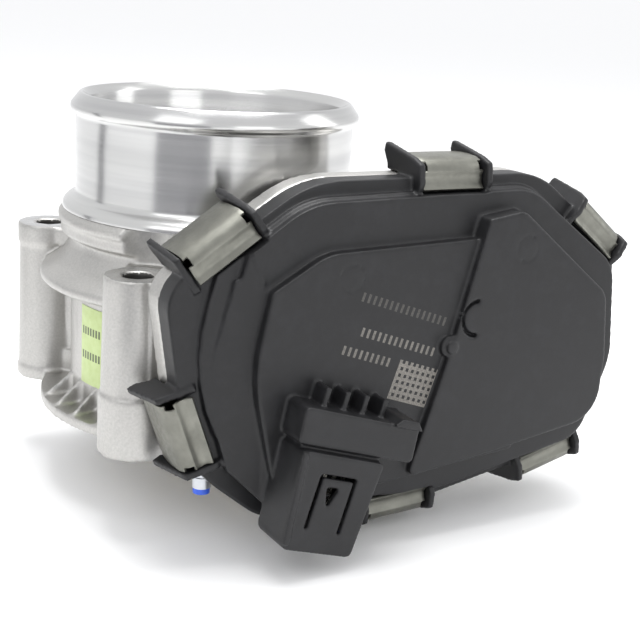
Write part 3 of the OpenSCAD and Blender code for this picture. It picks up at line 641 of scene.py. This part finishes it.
# %% Turned tube and bore, spun from one profile
tube_profile = [(BORE_R, 0.5), (BORE_R + 0.4, 0.05), (LINER_R, 0.05), (LINER_R, TUBE_FOOT),
                (38.3, TUBE_FOOT), (38.35, 51.6), (38.0, 52.4), (37.2, 53.2), (36.2, 53.75), (35.5, 54.1),
                (35.1, 54.6), (SPIGOT_R, 55.4), (SPIGOT_R, 60), (SPIGOT_R, 67), (SPIGOT_R, 73.6),
                (35.15, 74.2), (35.6, 74.6), (36.1, 75.0), (36.35, 75.5), (36.4, 76.1), (36.25, 76.7),
                (34.6, 78.9), (34.25, 79.3), (33.8, 79.5), (33.5, 79.48), (33.3, 79.3), (BORE_R + 0.15, 77.9),
                (BORE_R, 77.5), (BORE_R, 60), (BORE_R, 40), (BORE_R, 20)]
clear_selection()
bpy.ops.mesh.primitive_circle_add(vertices=len(tube_profile))
tube = bpy.context.object
tube.name = "housing_tube"
for vertex, (r, z) in zip(tube.data.vertices, tube_profile):
    vertex.co = (r * MM, 0, z * MM)
edit(tube)
bpy.ops.mesh.select_all(action="SELECT")
bpy.ops.mesh.spin(steps=192, angle=math.tau, center=(0, 0, 0), axis=(0, 0, 1))
bpy.ops.mesh.select_all(action="SELECT")
bpy.ops.mesh.remove_doubles(threshold=0.01 * MM)
bpy.ops.mesh.normals_make_consistent(inside=False)
done()
combine_with(tube, [rod("shaft_cut", 5.4, (0, -60, SHAFT_Z), (0, 60, SHAFT_Z))], "DIFFERENCE")
keep_in_box(tube)
finish_mesh(tube, 35)
tube.data.materials.clear()
tube.data.materials.append(finishes["turned_aluminium"])
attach(tube, "housing")
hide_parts("housing")

# %% Give the faced parts of the casting the turned finish, and paint the drilled holes' walls near black as painted shade
casting.data.materials.append(finishes["turned_aluminium"])
casting.data.materials.append(finishes["painted_hole_shade"])
machined = drilled = 0
for face in casting.data.polygons:
    x, y, z = (c / MM for c in face.center)
    near_boss = math.hypot(abs(x) - BOSS_X, abs(y) - BOSS_Y)
    on_top = near_boss < BOSS_FACE_R + 0.05 and abs(z - BOSS_TOP) < 0.12 and face.normal.z > 0.9
    at_foot = abs(z) < 0.1 and face.normal.z < -0.9 and y > CASE_BACK_Y
    if on_top or at_foot:
        face.material_index = 1
        machined += 1
    # the walls of the drilled holes get the near-black finish: painted shade for the holes' dark inside
    elif near_boss < DRILL_R + 0.2 and abs(face.normal.z) < 0.6:
        face.material_index = 2
        drilled += 1
print("machined faces:", machined, "and drilled ones:", drilled)

# %% [markdown]
# ## The gear cover
# The cover is one moulding with the connector, the ears beside each clip and the raised ribs.
# The CAD node's shape is copied. Its left side gets the long crescent-shaped slope, which one
# sloping cut makes, with a second sloping slab inside so that the wall keeps its thickness.
# The mould's own traces follow: ejector rings, a shallow arc and the gate's small nub.

# %% Sloping crescent
cover = copy_of_node("gear_cover", "cover_moulding")
SLOPE_X, SLOPE_Y = (-29.0, -14.0), (-57.3, -60.6)
slope_edge = [(-19.6, 54.6), (-15.2, 44.2), (-16.0, 39.5), (-16.95, 34.4), (-17.55, 30.2), (-17.75, 26),
              (-17.45, 21.8), (-16.75, 17.6), (-13.6, 3.9), (-13.6, -12), (-44, -12), (-44, 54.6)]

def slope_y(x):
    return SLOPE_Y[0] + (x - SLOPE_X[0]) / (SLOPE_X[1] - SLOPE_X[0]) * (SLOPE_Y[1] - SLOPE_Y[0])

def slope_tool(name, corners, lift, front_y=None):
    slab = outline_plate(name, corners, 0, -2)
    for vertex in slab.data.vertices:
        is_front = vertex.co.y < -MM
        on_slope = slope_y(vertex.co.x / MM) + lift
        if is_front:
            vertex.co.y = (on_slope - 2.4 if front_y is None else front_y) * MM
        else:
            vertex.co.y = on_slope * MM
    edit(slab)
    bpy.ops.mesh.select_all(action="SELECT")
    bpy.ops.mesh.normals_make_consistent(inside=False)
    done()
    return slab

filler_edge = [(-16, 48), (-15, 40), (-15.5, 26), (-10, -4), (-14, -5), (-22, 3), (-28, 22), (-22, 47)]
combine_with(cover, [slope_tool("slope_filler", filler_edge, 2.2)], "UNION")
combine_with(cover, [slope_tool("slope_cut", slope_edge, 0, -60.76)], "DIFFERENCE")

# %% Traces of the mould
def ring_tool(x, z, outer, inner, y_front, y_back):
    ring = rod("ring", outer, (x, y_front, z), (x, y_back, z), 40)
    core = rod("core", inner, (x, y_front - 1, z), (x, y_back + 1, z), 40)
    combine_with(ring, [core], "DIFFERENCE")
    return ring

traces = [ring_tool(4.9, 46.5, 3.4, 2.8, -64, -62.6), ring_tool(52.1, 51.0, 3.4, 2.8, -66, -64.5)]
arc = ring_tool(39.2, 34.8, 4.6, 3.8, -66, -63.6)
combine_with(arc, [block("arc_gap", (39.6, -67, 20), (50, -60, 50))], "DIFFERENCE")
traces.append(arc)
combine_with(cover, traces, "DIFFERENCE")
combine_with(cover, [rod("gate_nub", 1.5, (32.3, -62, 28.4), (32.3, -65.5, 28.4), 32),
                     rod("gate_ring", 2.6, (32.3, -62, 28.4), (32.3, -64.4, 28.4), 32)], "UNION")
soften(cover, 0.33, 8, 185000)
finish_mesh(cover, 60)
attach(cover, "housing")
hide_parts("gear_cover")

# %% [markdown]
# ## Cover clips
# Six spring clips of bent sheet steel squeeze the cover onto the case. Each is one strip: a
# grid whose rows of points are laid along the bends, with the corners of the front bend cut out so
# that the sheet folds without tearing. Solidify gives it the sheet's thickness. The first clip
# is copied to the six places on the rim.

# %% One clip
CLIP_L, CLIP_T = 17, 0.8
clip_path = [(-1.4, 43.95), (3.0, 43.95), (3.72, 44.8), (4.05, 48.0), (4.1, 51.0), (3.9, 54.2),
             (3.3, 55.9), (2.5, 56.75), (1.5, 57.2), (0.7, 56.75), (-1.0, 56.62), (-1.9, 56.95), (-2.9, 57.9)]
NOTCH = 1.1
along_x = [-CLIP_L / 2, -CLIP_L / 2 + NOTCH, CLIP_L / 2 - NOTCH, CLIP_L / 2]
clear_selection()
bpy.ops.mesh.primitive_grid_add(x_subdivisions=len(along_x) - 1, y_subdivisions=len(clip_path) - 1)
clip = bpy.context.object
clip.name = "cover_clip"
row_length = len(along_x)
for index, vertex in enumerate(clip.data.vertices):
    y, z = clip_path[index // row_length]
    vertex.co = (along_x[index % row_length] * MM, y * MM, z * MM)
edit(clip)
notched = choose("FACE", lambda f: abs(f.calc_center_median().x) > 7.5 * MM
                 and 55.5 * MM < f.calc_center_median().z < 57.1 * MM
                 and 1.7 * MM < f.calc_center_median().y < 3.2 * MM)
bpy.ops.mesh.delete(type="FACE")
bpy.ops.mesh.select_all(action="SELECT")
bpy.ops.mesh.normals_make_consistent(inside=False)
done()
print("notched", notched, "faces of the bend")
sheet = clip.modifiers.new("sheet", "SOLIDIFY")
sheet.thickness = CLIP_T * MM
sheet.offset = 0
rounding = clip.modifiers.new("rounding", "BEVEL")
rounding.width = 0.18 * MM
rounding.segments = 2
rounding.limit_method = "ANGLE"
rounding.angle_limit = math.radians(50)
apply_all(clip)

# %% Six copies on the rim
clip_places = [(-24.3, 53.3, 34), (33.9, 67.3, 0), (80.4, 52.4, -38), (71.6, -7.2, 194), (25.3, -12.9, 183),
               (-30.6, 12.4, 110)]
copies = []
for x, z, rim_turn in clip_places:
    copied = clip.copy()
    copied.data = clip.data.copy()
    bpy.context.scene.collection.objects.link(copied)
    to_rim = Matrix.Translation((x * MM, 0, z * MM))
    along_rim = Matrix.Rotation(math.radians(-rim_turn), 4, "Y")
    copied.data.transform(to_rim @ along_rim @ Matrix.Rotation(math.pi / 2, 4, "X"))
    copies.append(copied)
bpy.data.objects.remove(clip)
clips = join_all(copies, "rim_clips")
clips.data.materials.append(finishes["clip_steel"])
finish_mesh(clips, 40)
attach(clips, "housing")
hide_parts("cover_clips")

# %% [markdown]
# ## Return spring
# The spring winds up as the throttle opens. Its CAD shape is copied and merged, shaded smooth
# by angle, and its transform is baked into the mesh.

# %% Return spring, copied from its CAD shape
spring = copy_of_node("return_spring", "winding_spring")
finish_mesh(spring, 50)
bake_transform(spring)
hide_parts("return_spring")
